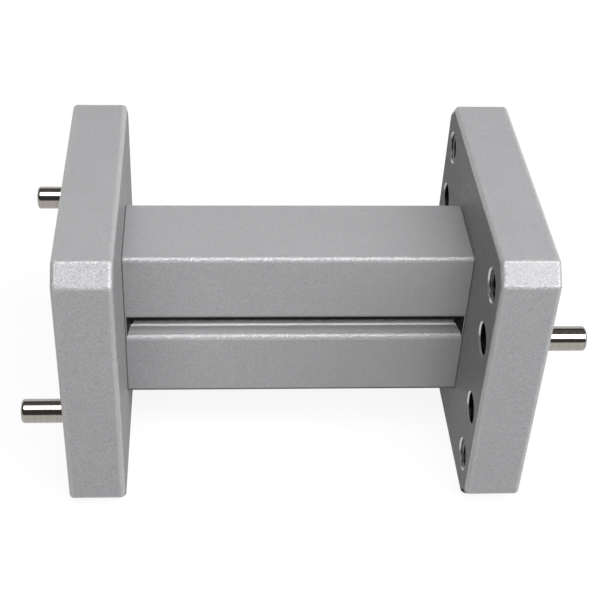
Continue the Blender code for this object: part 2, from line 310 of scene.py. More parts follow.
class NodeBoard:
    """The node tree of a material or of the surroundings, with short ways to add to it."""

    def __init__(self, tree: bpy.types.NodeTree, coordinates: str = "Object") -> None:
        """Takes a tree and the coordinates that its patterns are laid out in."""
        self.tree = tree
        self.place = tree.nodes.new("ShaderNodeTexCoord").outputs[coordinates]

    def plug(self, target: bpy.types.NodeSocket, value: object) -> None:
        """Links a socket to an input, or sets the input's value.

        Args:
            target: The input.
            value: The socket or the value.
        """
        if isinstance(value, bpy.types.NodeSocket):
            self.tree.links.new(value, target)
        else:
            target.default_value = value

    def put(self, name: str, value: object) -> None:
        """Sets or links an input of the Principled shader."""
        self.plug(self.tree.nodes["Principled BSDF"].inputs[name], value)

    def add(self, kind: str, inputs: dict, **settings) -> bpy.types.Node:
        """Adds a node.

        Args:
            kind: Its type, without the leading ShaderNode.
            inputs: Values or sockets, by the name or number of the input.
            **settings: The node's own properties.

        Returns:
            The node.
        """
        node = self.tree.nodes.new("ShaderNode" + kind)
        for key, value in settings.items():
            setattr(node, key, value)
        for key, value in inputs.items():
            self.plug(node.inputs[key], value)
        return node

    def math(self, operation: str, *values: object) -> bpy.types.NodeSocket:
        """The result of a Math node."""
        return self.add("Math", dict(enumerate(values)), operation=operation).outputs["Value"]

    def vector(self, operation: str, *values: object) -> dict:
        """The outputs of a Vector Math node."""
        return self.add("VectorMath", dict(enumerate(values)), operation=operation).outputs

    def mapped(self, **settings: tuple) -> bpy.types.NodeSocket:
        """The piece's coordinates, moved by a Location or scaled by a Scale."""
        return self.add("Mapping", {"Vector": self.place, **settings}).outputs["Vector"]

    def noise(self, scale: float, detail: float = 2.0, place: object = None) -> bpy.types.NodeSocket:
        """Smooth noise from 0 to 1, with this many waves a metre."""
        vector = self.place if place is None else place
        return self.add("TexNoise", {"Vector": vector, "Scale": scale, "Detail": detail}).outputs["Fac"]

    def range(
        self, value: object, low: float, high: float, ends: tuple = (0.0, 1.0)
    ) -> bpy.types.NodeSocket:
        """Maps a value from the ends to low and high, and holds it between them."""
        keys = {"Value": value, "From Min": ends[0], "From Max": ends[1], "To Min": low, "To Max": high}
        return self.add("MapRange", keys).outputs["Result"]

    def ramp(self, value: object, stops: list) -> bpy.types.NodeSocket:
        """Turns a value into a colour.

        Args:
            value: The value or its socket.
            stops: Pairs of a position and an (r, g, b) colour.

        Returns:
            The colour's socket.
        """
        node = self.add("ValToRGB", {"Fac": value})
        elements = node.color_ramp.elements
        while len(elements) < len(stops):
            elements.new(1.0)
        for element, (position, colour) in zip(elements, stops):
            element.position = position
            element.color = (*colour, 1.0)
        return node.outputs["Color"]

    def bump(self, height: object, distance: float, strength: float = 0.5) -> bpy.types.NodeSocket:
        """A normal that is tilted by a height of up to a distance in metres."""
        inputs = {"Height": height, "Distance": distance, "Strength": strength}
        return self.add("Bump", inputs).outputs["Normal"]

    def mix(self, share: object, first: object, second: object) -> bpy.types.NodeSocket:
        """Two shaders mixed, the second one by its share."""
        return self.add("MixShader", {0: share, 1: first, 2: second}).outputs["Shader"]

    def sparkle(self, scale: float, amount: float) -> tuple:
        """Flakes that each tilt the surface their own way.

        The normal is the surface's normal plus a random vector of each Voronoi cell, made a
        unit again.

        Args:
            scale: Cells a metre.
            amount: The longest tilt.

        Returns:
            The normal, and a random number from 0 to 1 for each flake.
        """
        cells = self.add("TexVoronoi", {"Vector": self.place, "Scale": scale}).outputs["Color"]
        centred = self.vector("SUBTRACT", cells, (0.5,) * 3)["Vector"]
        surface = self.tree.nodes.new("ShaderNodeNewGeometry").outputs["Normal"]
        tilted = self.vector("MULTIPLY_ADD", centred, (2 * amount,) * 3, surface)["Vector"]
        unit = self.vector("NORMALIZE", tilted)["Vector"]
        return unit, self.add("SeparateColor", {"Color": cells}).outputs["Red"]


@dataclass(frozen=True)
class Finish:
    """A procedural finish, whose material all pieces that have it share."""

    name: str

    def material(self) -> bpy.types.Material:
        """Makes the material, unless it was made before.

        Returns:
            The material.
        """
        if self.name not in bpy.data.materials:
            material = bpy.data.materials.new(self.name)
            material.use_nodes = True
            self.lay(NodeBoard(material.node_tree))
        return bpy.data.materials[self.name]

    def lay(self, board: NodeBoard) -> None:
        """Adds the finish's nodes to the material's board."""
        raise NotImplementedError


@dataclass(frozen=True)
class MetallicPaint(Finish):
    """Fine silver-grey metallic paint: flakes under a clear coat, and faint clouding.

    Attributes:
        dark, light: The colours of the darkest and the lightest flakes.
        metallic: The metallic value.
        specular: The specular level.
        grazing: The brightness of the flakes' reflection at a grazing angle.
        roughness: The least and the greatest roughness.
        flakes_per_metre: How fine the flakes are.
        flake_tilt: How far a flake leans at most.
        coat: The clear coat's weight.
        coat_roughness: The clear coat's roughness.
        cloud_share: How much of the colour's change is clouding, the rest being flakes.
        clouds_per_metre: How fine the clouding is.
        patches_per_metre: How fine the changes of the roughness are.
    """

    dark: tuple = (0.300, 0.302, 0.309)
    light: tuple = (0.372, 0.374, 0.381)
    metallic: float = 0.26
    specular: float = 0.05
    grazing: float = 0.02
    roughness: tuple = (0.40, 0.50)
    flakes_per_metre: float = 11000.0
    flake_tilt: float = 0.12
    coat: float = 0.0
    coat_roughness: float = 0.2
    cloud_share: float = 0.3
    clouds_per_metre: float = 160.0
    patches_per_metre: float = 700.0

    def lay(self, board: NodeBoard) -> None:
        """Lays flakes of their own tilt and brightness, and a coat that follows them.

        Args:
            board: The material's nodes.
        """
        tilted, flake = board.sparkle(self.flakes_per_metre, self.flake_tilt)
        cloud = board.range(board.noise(self.clouds_per_metre, FINE_DETAIL), 0.0, self.cloud_share)
        mixed = board.math("MULTIPLY_ADD", flake, 1.0 - self.cloud_share, cloud)
        board.put("Base Color", board.ramp(mixed, [(0.0, self.dark), (1.0, self.light)]))
        board.put("Metallic", self.metallic)
        board.put("Specular IOR Level", self.specular)
        board.put("Specular Tint", (self.grazing,) * 3 + (1.0,))
        patches = board.noise(self.patches_per_metre)
        board.put("Roughness", board.range(patches, *self.roughness, NOISE_SPAN))
        board.put("Normal", tilted)
        board.put("Coat Weight", self.coat)
        board.put("Coat Roughness", self.coat_roughness)
        board.put("Coat Normal", tilted)


@dataclass(frozen=True)
class MilledMetal(Finish):
    """Bare metal with the fine arcs that a face mill leaves, turned about a far centre.

    Attributes:
        dark, light: The colours where the arcs are deep and high.
        span: The noise at which those colours are reached.
        arcs_per_metre: How fine the arcs are.
        centre: The mill's centre, negated.
        roughness: The least and the greatest roughness.
        patches_per_metre: How fine the changes of the roughness are.
        relief: The height of the arcs.
    """

    dark: tuple = (0.47, 0.47, 0.475)
    light: tuple = (0.66, 0.66, 0.665)
    span: tuple = (0.25, 0.75)
    arcs_per_metre: float = 2600.0
    centre: tuple = (0.0, 0.055, -0.02)
    roughness: tuple = (0.24, 0.36)
    patches_per_metre: float = 900.0
    relief: float = 0.000006

    def lay(self, board: NodeBoard) -> None:
        """Lays noise of the distance from the X line through the mill's centre.

        Args:
            board: The material's nodes.
        """
        flat = board.vector("MULTIPLY", board.mapped(Location=self.centre), (0.0, 1.0, 1.0))["Vector"]
        radius = board.vector("LENGTH", flat)["Value"]
        turns = board.math("MULTIPLY", radius, self.arcs_per_metre)
        keys = {"W": turns, "Scale": 1.0, "Detail": FINE_DETAIL}
        marks = board.add("TexNoise", keys, noise_dimensions="1D").outputs["Fac"]
        low, high = self.span
        board.put("Base Color", board.ramp(marks, [(low, self.dark), (high, self.light)]))
        board.put("Metallic", 1.0)
        patches = board.noise(self.patches_per_metre)
        board.put("Roughness", board.range(patches, *self.roughness, NOISE_SPAN))
        board.put("Normal", board.bump(marks, self.relief))


@dataclass(frozen=True)
class GrainedFinish(Finish):
    """A finish of one noise pattern, which sets its colour, roughness and fine relief.

    Attributes:
        dark, light: The colours where the noise is low and high.
        metallic: The metallic value.
        specular: The specular level.
        roughness: The roughness where the noise is low and high.
        waves: How many waves a metre the noise has along each axis.
        detail: The noise's detail.
        relief: The height of the relief.
    """

    dark: tuple = (0.006, 0.006, 0.006)
    light: tuple = (0.018, 0.018, 0.018)
    metallic: float = 0.0
    specular: float = 0.5
    roughness: tuple = (0.4, 0.5)
    waves: tuple = (5000.0, 5000.0, 5000.0)
    detail: float = FINE_DETAIL
    relief: float = 0.000004

    def lay(self, board: NodeBoard) -> None:
        """Lays one noise for all three.

        Args:
            board: The material's nodes.
        """
        grain = board.noise(1.0, self.detail, board.mapped(Scale=self.waves))
        low, high = NOISE_SPAN
        board.put("Base Color", board.ramp(grain, [(low, self.dark), (high, self.light)]))
        board.put("Metallic", self.metallic)
        board.put("Specular IOR Level", self.specular)
        board.put("Roughness", board.range(grain, *self.roughness, NOISE_SPAN))
        board.put("Normal", board.bump(grain, self.relief))


@dataclass(frozen=True)
class PaintedLightEdgeFinish(GrainedFinish):
    """A grained finish on a strip, lighter towards both long edges as painted light.

    Attributes:
        middle_z: The height of the strip's middle line.
        half_height: Half its height.
        full_to: To what share of the half height it keeps its own colour.
        edge: Its colour at the long edges, a painted light.
        frays_per_metre: How fine its edge is frayed.
        fray: How far the frays reach, as a share of the half height.
    """

    middle_z: float = 0.01905
    half_height: float = 0.00101
    full_to: float = 0.66
    edge: tuple = (0.24, 0.24, 0.245)
    frays_per_metre: float = 1500.0
    fray: float = 0.2

    def lay(self, board: NodeBoard) -> None:
        """Lays the grain, its colour taken over by the distance from the middle line.

        Args:
            board: The material's nodes.
        """
        super().lay(board)
        height = board.add("SeparateXYZ", {"Vector": board.place}).outputs["Z"]
        distance = board.math("ABSOLUTE", board.math("SUBTRACT", height, self.middle_z))
        share = board.math("DIVIDE", distance, self.half_height)
        # The colour turns lighter towards both edges: painted light.
        edge_share = board.math("MULTIPLY_ADD", board.noise(self.frays_per_metre), self.fray, share)
        stops = [(0.0, self.dark), (self.full_to, self.light), (1.0, self.edge)]
        board.put("Base Color", board.ramp(edge_share, stops))


@dataclass(frozen=True)
class WhiteTable(Finish):
    """A white table that keeps the part's faint shadow.

    Attributes:
        own_white: How much of its look is its own white, the rest being lit and shaded.
        look: How white its lit part looks.
        bounce: How white it is for the light that it throws back on the part.
        roughness: Its roughness.
    """

    own_white: float = 0.89
    look: float = 0.95
    bounce: float = 0.2
    roughness: float = 0.9

    def lay(self, board: NodeBoard) -> None:
        """Lays a matt white, mixed with pure white for camera, glossy and transmission rays.

        Args:
            board: The material's nodes.
        """
        rays = board.add("LightPath", {}).outputs
        board.put("Base Color", board.range(rays["Is Camera Ray"], self.bounce, self.look))
        board.put("Roughness", self.roughness)
        board.put("Specular IOR Level", 0.0)
        seen = board.math("MAXIMUM", rays["Is Glossy Ray"], rays["Is Transmission Ray"])
        seen = board.math("MAXIMUM", rays["Is Camera Ray"], seen)
        glow = board.add("Emission", {"Color": WHITE, "Strength": 1.0}).outputs["Emission"]
        matt = board.tree.nodes["Principled BSDF"].outputs["BSDF"]
        mixed = board.mix(board.math("MULTIPLY", seen, self.own_white), matt, glow)
        board.plug(board.tree.nodes["Material Output"].inputs["Surface"], mixed)


class Look(Enum):
    """The finishes of the part.

    The paint has run smooth and glossy on the rounded edges. On the grooves' walls it is lighter,
    a painted light for the shade inside the grooves; the lower fillet at each groove's floor is
    near-white, a painted highlight; the lower edges are darker and matt, a painted shade. The cut
    metal of the bores and the channel is darkened, and the ends of the grooves and of the pocket
    are black, both painted shade. The black compound strip is lighter towards its long edges, a
    painted light.
    """

    PAINT = MetallicPaint("silver_grey_paint")
    EDGE = MetallicPaint(
        "silver_grey_paint_edge",
        specular=0.5,
        grazing=1.0,
        flake_tilt=0.22,
        coat=1.0,
        coat_roughness=0.22,
    )
    # Lighter copy of the paint for the grooves' walls: painted light for the shade inside the grooves.
    GROOVE_PAINTED_LIGHT = MetallicPaint(
        "silver_grey_paint_groove_painted_light",
        dark=(0.375, 0.377, 0.385),
        light=(0.45, 0.452, 0.46),
    )
    # Near-white paint for the lower fillet at each groove's floor: a painted highlight line.
    FOOT_PAINTED_HIGHLIGHT = MetallicPaint(
        "silver_grey_paint_foot_painted_highlight",
        dark=(0.78, 0.78, 0.785),
        light=(0.88, 0.88, 0.885),
        metallic=0.1,
        specular=0.5,
        grazing=1.0,
        roughness=(0.45, 0.55),
        flake_tilt=0.22,
        coat=1.0,
        coat_roughness=0.22,
    )
    # Darker, matt copy of the paint for the lower rounded edges: painted shade.
    UNDERSIDE_PAINTED_SHADE = MetallicPaint(
        "silver_grey_paint_underside_painted_shade",
        dark=(0.16, 0.161, 0.165),
        light=(0.22, 0.221, 0.225),
        metallic=0.0,
        specular=0.0,
        roughness=(0.75, 0.85),
    )
    MACHINED = MilledMetal("machined_aluminium")
    # Bare cut metal of the bores, threads, channel and slots, its colour darkened: painted shade of
    # their insides.
    CUT = GrainedFinish(
        "cut_aluminium_painted_shade",
        dark=(0.08, 0.08, 0.08),
        light=(0.22, 0.22, 0.22),
        metallic=1.0,
        roughness=(0.18, 0.28),
        waves=(14000.0, 500.0, 500.0),
    )
    RING = GrainedFinish(
        "blasted_aluminium",
        dark=(0.50, 0.50, 0.505),
        light=(0.68, 0.68, 0.685),
        metallic=0.8,
        roughness=(0.26, 0.36),
        waves=(9000.0, 9000.0, 9000.0),
    )
    STEEL = GrainedFinish(
        "ground_steel",
        dark=(0.34, 0.31, 0.285),
        light=(0.44, 0.41, 0.38),
        metallic=1.0,
        roughness=(0.09, 0.15),
        waves=(9000.0, 260.0, 260.0),
        detail=4.0,
        relief=0.0000012,
    )
    # Black for the ends of the grooves and of the seal's pocket: painted shade of those deep corners.
    COMPOUND = GrainedFinish(
        "black_painted_shade", specular=0.12, roughness=(0.45, 0.60), detail=4.0, relief=0.00001
    )
    # Black compound of the seal strip, lighter towards its long edges: painted light.
    STRIP = PaintedLightEdgeFinish(
        "black_seal_strip_painted_light_edges", specular=0.12, roughness=(0.45, 0.60), detail=4.0, relief=0.00001
    )
    FILM = GrainedFinish(
        "resistive_film",
        dark=(0.022, 0.022, 0.025),
        light=(0.052, 0.052, 0.056),
        roughness=(0.5, 0.7),
        waves=(300.0, 6000.0, 6000.0),
    )


class Skin:
    """Collects the grids and flat faces of one closed piece and welds them to one mesh."""

    def __init__(self, look: Look) -> None:
        """Starts empty.

        Args:
            look: The look of all faces that are given no other.
        """
        self.look = look
        self.points: list[np.ndarray] = []
        self.faces: list[np.ndarray] = []
        self.normals: list[np.ndarray] = []
        self.looks: list[Look] = []
        self.count = 0

    def _add(
        self, points: np.ndarray, normals: np.ndarray, faces: np.ndarray, look: Look | None
    ) -> None:
        """Adds points with the faces between them.

        Args:
            points: Points of shape (n, 3).
            normals: Normals of the same shape.
            faces: Rows of three or four point numbers.
            look: The look, or None for the piece's own.
        """
        self.points.append(points)
        self.faces.append(faces + self.count)
        self.normals.append(normals[faces].reshape(-1, 3))
        self.looks.append(look or self.look)
        self.count += len(points)

    def add_grid(
        self, points: np.ndarray, normals: np.ndarray | None = None, look: Look | None = None
    ) -> None:
        """Adds the quads of a grid.

        Args:
            points: Points of shape (rows, columns, 3).
            normals: Normals of the same shape, or None to take them from the grid.
            look: The look, where it isn't the piece's own.
        """
        rows, columns = points.shape[:2]
        index = np.arange(rows * columns).reshape(rows, columns)
        ring = (index[:-1, :-1], index[1:, :-1], index[1:, 1:], index[:-1, 1:])
        shade = grid_normals(points) if normals is None else normals
        quads = np.stack(ring, axis=-1).reshape(-1, 4)
        self._add(points.reshape(-1, 3), shade.reshape(-1, 3), quads, look)

    def add_flat(self, loops: list[np.ndarray], normal: tuple, look: Look | None = None) -> None:
        """Fills the flat region between an outer loop and the holes in it.

        Args:
            loops: The outer loop and the loops of its holes, each of shape (n, 3).
            normal: The face's normal.
            look: The look, where it isn't the piece's own.
        """
        triangles = np.array(tessellate_polygon([loop.tolist() for loop in loops]))
        points = np.concatenate(loops)
        self._add(points, np.tile(normal, (len(points), 1)), triangles, look)

    def sweep(self, section: list[Stretch], rail: list[Stretch], look: Look | None = None) -> None:
        """Carries stretches of a section in Y and Z along stretches of a rail along X.

        A point is the section's point, moved along its normal by the rail's height, at the
        rail's X. Its normal is the section's normal times the height part of the rail's
        normal, plus the X axis times the X part.

        Args:
            section: Stretches of points (Y, Z).
            rail: Stretches of points (X, height over the section).
            look: The look, where it isn't the piece's own.
        """
        for across in section:
            for along in rail:
                height = along.points[None, :, 1:]
                flat = across.points[:, None] + across.normals[:, None] * height
                x = np.broadcast_to(along.points[None, :, :1], flat.shape[:2] + (1,))
                tilt = across.normals[:, None] * along.normals[None, :, 1:]
                nx = np.broadcast_to(along.normals[None, :, :1], flat.shape[:2] + (1,))
                points = np.concatenate([x, flat], axis=2)
                self.add_grid(points, np.concatenate([nx, tilt], axis=2), look)

    def shaft(
        self, first: np.ndarray, second: np.ndarray, look: Look | None = None, other: Look | None = None
    ) -> None:
        """Adds flat walls between two loops of as many points, each wall with its own normal.

        Args:
            first: One loop, of shape (n, 3).
            second: The other loop.
            look: The look, where it isn't the piece's own.
            other: The look of every second wall, where it differs.
        """
        walls = zip(first, np.roll(first, -1, 0), second, np.roll(second, -1, 0))
        for index, ends in enumerate(walls):
            self.add_grid(np.array(ends).reshape(2, 2, 3), look=other if other and index % 2 else look)

    def build(self, node: str, lift: float, slot: str) -> bpy.types.Object:
        """Welds the piece, points its faces outwards, and puts it on the frame.

        Args:
            node: The CAD node that it stands for.
            lift: How far it is raised along Z.
            slot: Not used.

        Returns:
            The new object.
        """
        name = node + "_dressed"
        mesh = bpy.data.meshes.new(name)
        points = np.concatenate(self.points) + (0.0, 0.0, lift)
        sizes = np.concatenate([np.full(len(part), part.shape[1]) for part in self.faces])
        starts = np.concatenate([[0], np.cumsum(sizes)[:-1]]).astype(np.int32)
        corners = np.concatenate([part.ravel() for part in self.faces]).astype(np.int32)
        used = list(dict.fromkeys(self.looks))
        numbers = [np.full(len(part), used.index(look)) for part, look in zip(self.faces, self.looks)]
        mesh.vertices.add(len(points))
        mesh.vertices.foreach_set("co", points.astype(np.float32).ravel())
        mesh.loops.add(len(corners))
        mesh.loops.foreach_set("vertex_index", corners)
        mesh.polygons.add(len(sizes))
        mesh.polygons.foreach_set("loop_start", starts)
        mesh.polygons.foreach_set("material_index", np.concatenate(numbers).astype(np.int32))
        mesh.update(calc_edges=True)
        shade = mesh.attributes.new(SHADE, "FLOAT_VECTOR", "CORNER")
        shade.data.foreach_set("vector", np.concatenate(self.normals).astype(np.float32).ravel())
        self._weld(mesh)
        self._keep_normals(mesh)
        piece = bpy.data.objects.new(name, mesh)
        bpy.context.scene.collection.objects.link(piece)
        for look in used:
            mesh.materials.append(look.value.material())
        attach(piece, BODY)
        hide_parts(node)
        log.info("%s: %d faces, replaces %s", name, len(mesh.polygons), node)
        return piece

    @staticmethod
    def _weld(mesh: bpy.types.Mesh) -> None:
        """Joins the borders of the grids and turns all faces outwards.

        Args:
            mesh: The piece's mesh.
        """
        bm = bmesh.new()
        bm.from_mesh(mesh)
        bmesh.ops.remove_doubles(bm, verts=bm.verts, dist=WELD)
        bmesh.ops.recalc_face_normals(bm, faces=bm.faces)
        open_edges = sum(not edge.is_manifold for edge in bm.edges)
        if open_edges:
            log.warning("%s has %d open edges", mesh.name, open_edges)
        bm.to_mesh(mesh)
        bm.free()

    @staticmethod
    def _keep_normals(mesh: bpy.types.Mesh) -> None:
        """Gives every corner the normal of its surface, on the outer side of its face.

        Args:
            mesh: The piece's mesh.
        """
        shade = mesh.attributes[SHADE]
        wanted = np.empty(len(mesh.loops) * 3, dtype=np.float32)
        shade.data.foreach_get("vector", wanted)
        wanted = wanted.reshape(-1, 3)
        mesh.attributes.remove(shade)
        sizes = np.empty(len(mesh.polygons), dtype=np.int32)
        mesh.polygons.foreach_get("loop_total", sizes)
        flat = np.empty(len(mesh.polygons) * 3, dtype=np.float32)
        mesh.polygons.foreach_get("normal", flat)
        facing = np.repeat(flat.reshape(-1, 3), sizes, axis=0)
        side = np.where((wanted * facing).sum(axis=1, keepdims=True) < 0.0, -1.0, 1.0)
        mesh.shade_smooth()
        mesh.normals_split_custom_set((wanted * side).tolist())


@dataclass
class Hole:
    """A hole of a flange, countersunk at the mating face. A screw's hole is threaded.

    The left flange's holes are blind. The right flange's go through and have a second
    countersink at the inner face, where a dowel's bore is as wide as a screw's hole.

    Attributes:
        side: The flange's end of the part.
        centre: The place (Y, Z) of its axis.
        bore: What it is for.
        sizes: The part's measures.
        mouth_radius: The radius of the countersink at the mating face.
        thread_radius: The thread's outer radius, and the radius of a screw hole's countersink foot.
        free_fit: The gap round a dowel in a bore that takes one.
        press_fit: The gap round a dowel in the bore that holds it.
        blind_wall: The wall between a blind hole and the inner face.
        relief_depth: How deep a dowel's bore is wide, from the inner face.
        exit_radius: The radius of the countersink at the inner face.
        exit_depth: The depth of that countersink.
        pitch: The thread's pitch.
        thread_height: How far the thread stands in.
        thread_steps: How many facets a turn of the thread has along the axis.
        fade: The share of a pitch over which the thread fades in at each end.
    """

    side: Side
    centre: tuple[float, float]
    bore: Bore
    sizes: Measures
    mouth_radius: float = 0.0023
    thread_radius: float = 0.0020
    free_fit: float = 0.00005
    press_fit: float = 0.000004
    blind_wall: float = 0.0012
    relief_depth: float = 0.0018
    exit_radius: float = 0.00214
    exit_depth: float = 0.0002
    pitch: float = 0.0005
    thread_height: float = 0.00028
    thread_steps: int = 14
    fade: float = 0.25

    @property
    def radius(self) -> float:
        """The radius of the bore behind the mating face's countersink.

        Returns:
            The thread's radius, or a dowel's with its fit.
        """
        if self.bore is Bore.SCREW:
            return self.thread_radius
        fit = self.free_fit if self.bore is Bore.FREE_DOWEL else self.press_fit
        return self.sizes.dowel_radius + fit

    @property
    def circle(self) -> Outline:
        """The hole's section at its bore."""
        return Outline.circle(self.centre, self.radius, inward=True)

    def mouth(self, x: float) -> np.ndarray:
        """The hole's mouth in the mating face or the inner one.

        Args:
            x: The face's place.

        Returns:
            The loop, of shape (n, 3).
        """
        inner = abs(x) < self.sizes.shoulder_x + WELD
        radius = self.exit_radius if inner else self.mouth_radius
        return at_x(self.circle.loop(self.radius - radius), x)

    def rail(self) -> Outline:
        """From the mating face's mouth along the bore to the hole's end.

        Heights are measured inwards from the bore's radius, so a blind hole's floor runs to
        the height of that radius, which is the axis.

        Returns:
            The rail, of points (X, height).
        """
        sink = self.mouth_radius - self.radius
        outer, inner = self.sizes.face_x, self.sizes.shoulder_x
        corners = [(outer, -sink), (outer - sink, 0.0)]
        if self.side is Side.LEFT:
            bottom = inner + self.blind_wall
            corners += [(bottom, 0.0), (bottom, self.radius)]
        else:
            widening = self.radius - self.thread_radius
            if self.bore is not Bore.SCREW:
                step = inner + self.relief_depth
                corners += [(step, 0.0), (step, widening)]
            corners += [(inner + self.exit_depth, widening), (inner, self.radius - self.exit_radius)]
        rail = Outline.through(corners, [0.0] * len(corners), closed=False)
        return rail.mirrored() if self.side is Side.LEFT else rail

    def add_to(self, skin: Skin) -> None:
        """Adds the hole's walls.

        Args:
            skin: The flange's skin.
        """
        # The exit countersink is bare metal; the bore and thread walls are darkened cut metal, a
        # painted shade.
        section = self.circle.stretches
        stretches = self.rail().stretches
        if self.side is Side.RIGHT:
            skin.sweep(section, [stretches.pop()], Look.RING)
        if self.bore is Bore.SCREW:
            (start, _), (end, _) = stretches.pop(1).points
            self._thread(skin, section[0], start, end)
        skin.sweep(section, stretches, Look.CUT)

    def _thread(self, skin: Skin, circle: Stretch, start: float, end: float) -> None:
        """Adds a helical thread between two places on the axis.

        The wall stands in by the thread's height times a smooth wave of the turns made: x over
        the pitch minus the angle over a full turn. The wave fades in at both ends.

        Args:
            skin: The flange's skin.
            circle: The hole's section.
            start: Where the thread starts.
            end: Where it ends.
        """
        count = int(abs(end - start) / self.pitch * self.thread_steps)
        x = np.linspace(start, end, count + 1)
        angle = np.linspace(0.0, 1.0, len(circle.points))[:, None]
        turns = x[None] / self.pitch - angle
        wave = 0.5 - 0.5 * np.cos(math.tau * turns)
        rim = np.minimum(np.abs(x - start), np.abs(x - end)) / self.pitch
        height = self.thread_height * wave * np.clip(rim / self.fade, 0.0, 1.0)[None]
        flat = circle.points[:, None] + circle.normals[:, None] * height[..., None]
        along = np.broadcast_to(x[None, :, None], flat.shape[:2] + (1,))
        points = np.concatenate([along, flat], axis=2)
        points[-1] = points[0]
        # Thread in darkened cut metal: painted shade.
        skin.add_grid(points, grid_normals(points, closed=True), Look.CUT)


@dataclass
class Flange:
    """A thick square flange with cut corners, rounded edges, eight holes and a socket.

    Attributes:
        side: Its end of the part.
        sizes: The part's measures.
        corner_cut: How much of each side a cut corner takes.
        corner_radius: The rounding where a cut corner meets the sides.
        edge_radius: The rounding round both faces.
        screw_inset: From the upper and lower edges to the screw rows.
        socket_fit: The gap round the body.
    """

    side: Side
    sizes: Measures
    corner_cut: float = 0.0022
    corner_radius: float = 0.0006
    edge_radius: float = 0.0006
    screw_inset: float = 0.00515
    socket_fit: float = 0.00002

    def outline(self) -> Outline:
        """The flange's section: a square with its corners cut at 45 degrees.

        Returns:
            The outline in Y and Z.
        """
        half, cut = self.sizes.flange_half, self.sizes.flange_half - self.corner_cut
        upper = [(half, cut), (cut, half), (-cut, half), (-half, cut)]
        corners = upper + [(-y, -z) for y, z in upper]
        return Outline.through(corners, [self.corner_radius] * len(corners))

    def rail(self) -> Outline:
        """From the mating face over the flat of the edge to the inner face, both edges round.

        Returns:
            The rail, of points (X, height).
        """
        outer, inner, foot = self.sizes.face_x, self.sizes.shoulder_x, -self.edge_radius
        corners = [(outer, foot), (outer, 0.0), (inner, 0.0), (inner, foot)]
        rail = Outline.through(corners, [0.0, self.edge_radius, self.edge_radius, 0.0], closed=False)
        return rail.mirrored() if self.side is Side.LEFT else rail

    def holes(self) -> list[Hole]:
        """The four threaded holes and the four dowel places.

        Seen from outside, a flange has a dowel high on its left and low on its right.

        Returns:
            All eight.
        """
        row = self.sizes.flange_half - self.screw_inset
        holes = []
        for y in (-1, 1):
            for z in (-1, 1):
                own = self.side.value * y * z < 0
                dowel = Bore.OWN_DOWEL if own else Bore.FREE_DOWEL
                for height, bore in ((row, Bore.SCREW), (self.sizes.dowel_row_z, dowel)):
                    centre = (y * self.sizes.column_y, z * height)
                    holes.append(Hole(self.side, centre, bore, self.sizes))
        return holes

    def build(self) -> bpy.types.Object:
        """Builds the flange: its rim, its two faces, its holes and its socket.

        Returns:
            The new object.
        """
        sizes, sign = self.sizes, self.side.value
        skin = Skin(Look.PAINT)
        outline = self.outline()
        for across in outline.stretches:
            lower = across.points[:, 1].mean() < self.corner_cut - sizes.flange_half
            # Rounded edges along the bottom take the darker paint, a painted shade.
            rounded = Look.UNDERSIDE_PAINTED_SHADE if lower else Look.EDGE
            for along in self.rail().stretches:
                flat = across.straight and along.straight
                skin.sweep([across], [along], Look.PAINT if flat else rounded)
        socket = body_section(sizes, inward=True, fit=self.socket_fit)
        holes = self.holes()
        leaving = holes if self.side is Side.RIGHT else []
        faces = (
            (sizes.face_x, Look.MACHINED, 1.0, holes),
            (sizes.shoulder_x, Look.PAINT, -1.0, leaving),
        )
        for x, look, out, mouths in faces:
            loops = [at_x(line, sign * x) for line in (outline.loop(-self.edge_radius), socket.loop())]
            loops += [hole.mouth(sign * x) for hole in mouths]
            skin.add_flat(loops, (sign * out, 0.0, 0.0), look)
        for hole in holes:
            hole.add_to(skin)
        low, high = sorted((sign * sizes.face_x, sign * sizes.shoulder_x))
        skin.sweep(socket.stretches, Outline.line(high, low).stretches)
        return skin.build("flange_" + self.side.name.lower(), sizes.middle_z, "grey_paint")


def body_section(
    sizes: Measures, inward: bool = False, fit: float = 0.0, radius: float = 0.0006
) -> Outline:
    """The section of the waveguide body, or of the socket that takes it.

    Args:
        sizes: The part's measures.
        inward: Whether it bounds a hole.
        fit: The gap added all round.
        radius: The rounding of the long edges.

    Returns:
        The outline in Y and Z.
    """
    corners = rectangle(2 * (sizes.body_y + fit), 2 * (sizes.body_z + fit), inward)
    return Outline.through(corners, [radius + fit] * 4)


